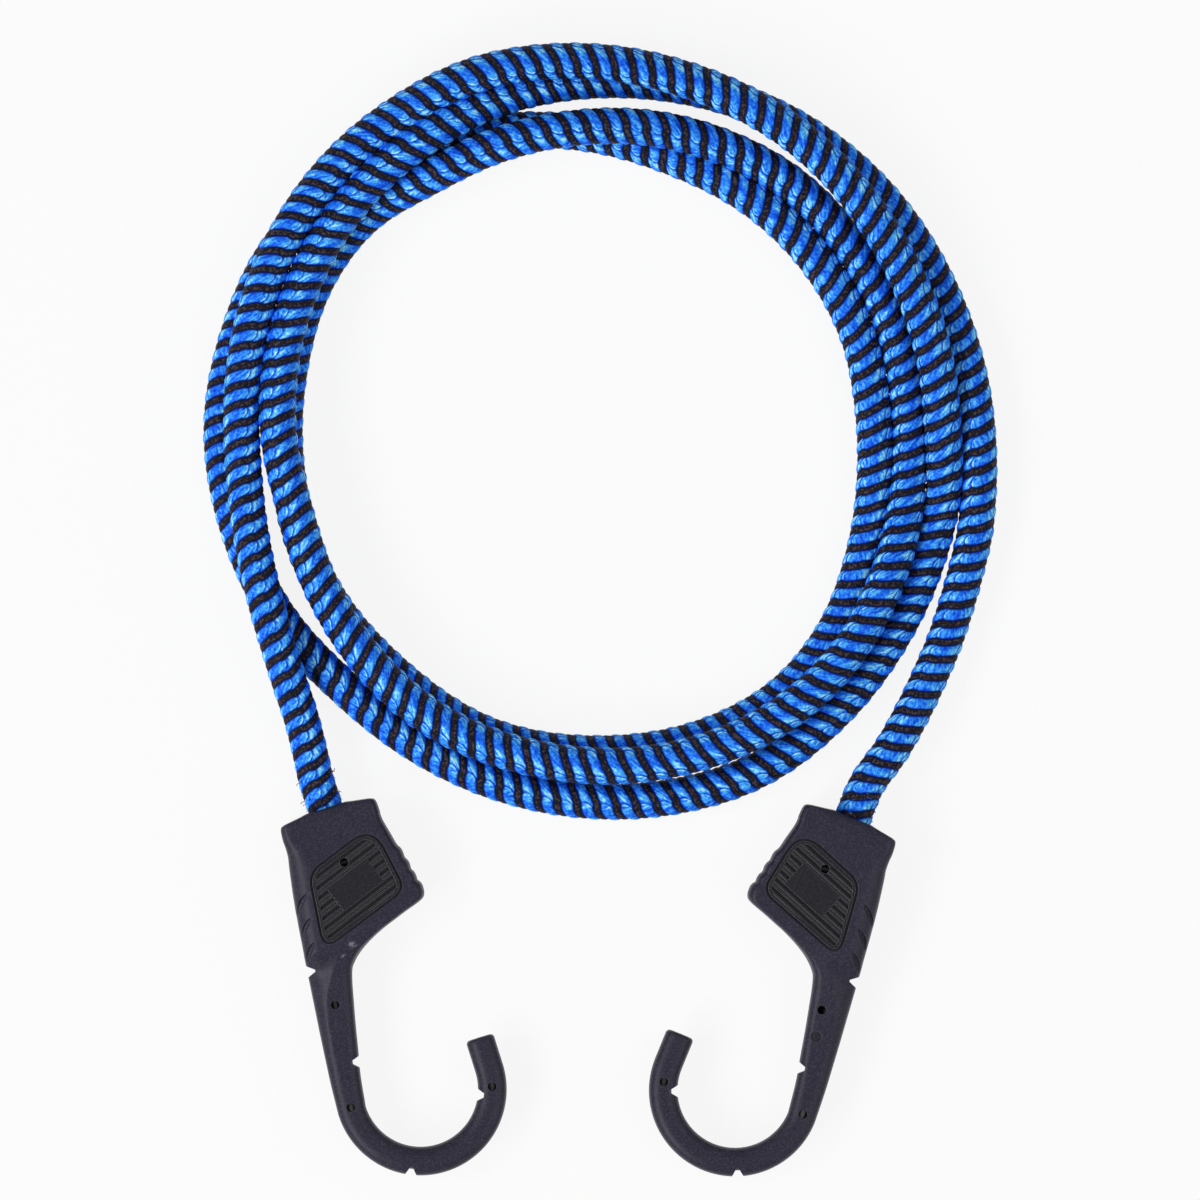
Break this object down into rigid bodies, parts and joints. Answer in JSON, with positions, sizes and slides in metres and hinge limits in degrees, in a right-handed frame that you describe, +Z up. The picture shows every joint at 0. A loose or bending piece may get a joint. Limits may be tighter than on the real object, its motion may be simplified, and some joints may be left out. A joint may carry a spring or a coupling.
{
  "type": "bungee cord",
  "caption": "Elastic cord in a blue and black striped braid, lying in a flat coil, with a black plastic-covered steel hook on each end.",
  "frame": {"origin": "middle of the box round the two hooks, on the plane that the part lies on", "axes": "+X from the left hook to the right one, +Y from the hooks to the coil, +Z up"},
  "size_m": [0.1819, 0.2596, 0.0175],
  "materials": {
    "braid": "bright blue yarn with narrower black stripes wound round the cord, plaited, slight sheen",
    "rubber": "plain latex, matte",
    "plastic": "near-black moulded plastic, fine-grained with a soft sheen",
    "steel": "drawn steel wire and pressed steel sheet, zinc plated"
  },
  "bodies": {
    "coil": {"coil_sheath": "braid", "coil_rubber": "rubber", "left_tail_sheath": "braid", "left_tail_rubber": "rubber", "right_tail_sheath": "braid", "right_tail_rubber": "rubber"},
    "left_hook": {"left_hook_cover": "plastic", "left_hook_core": "steel", "left_ferrule": "steel"},
    "right_hook": {"right_hook_cover": "plastic", "right_hook_core": "steel", "right_ferrule": "steel"}
  },
  "joints": [
    {"name": "left_stretch", "type": "slide", "parent": "coil", "child": "left_hook", "axis": [0.3007, -0.9537, 0], "range_m": [0, 0.02], "stiffness_N_per_m": 7500, "deforming": ["left_tail_sheath", "left_tail_rubber"]},
    {"name": "right_stretch", "type": "slide", "parent": "coil", "child": "right_hook", "axis": [-0.3778, -0.9259, 0], "range_m": [0, 0.06], "stiffness_N_per_m": 2300, "deforming": ["right_tail_sheath", "right_tail_rubber"]}
  ]
}
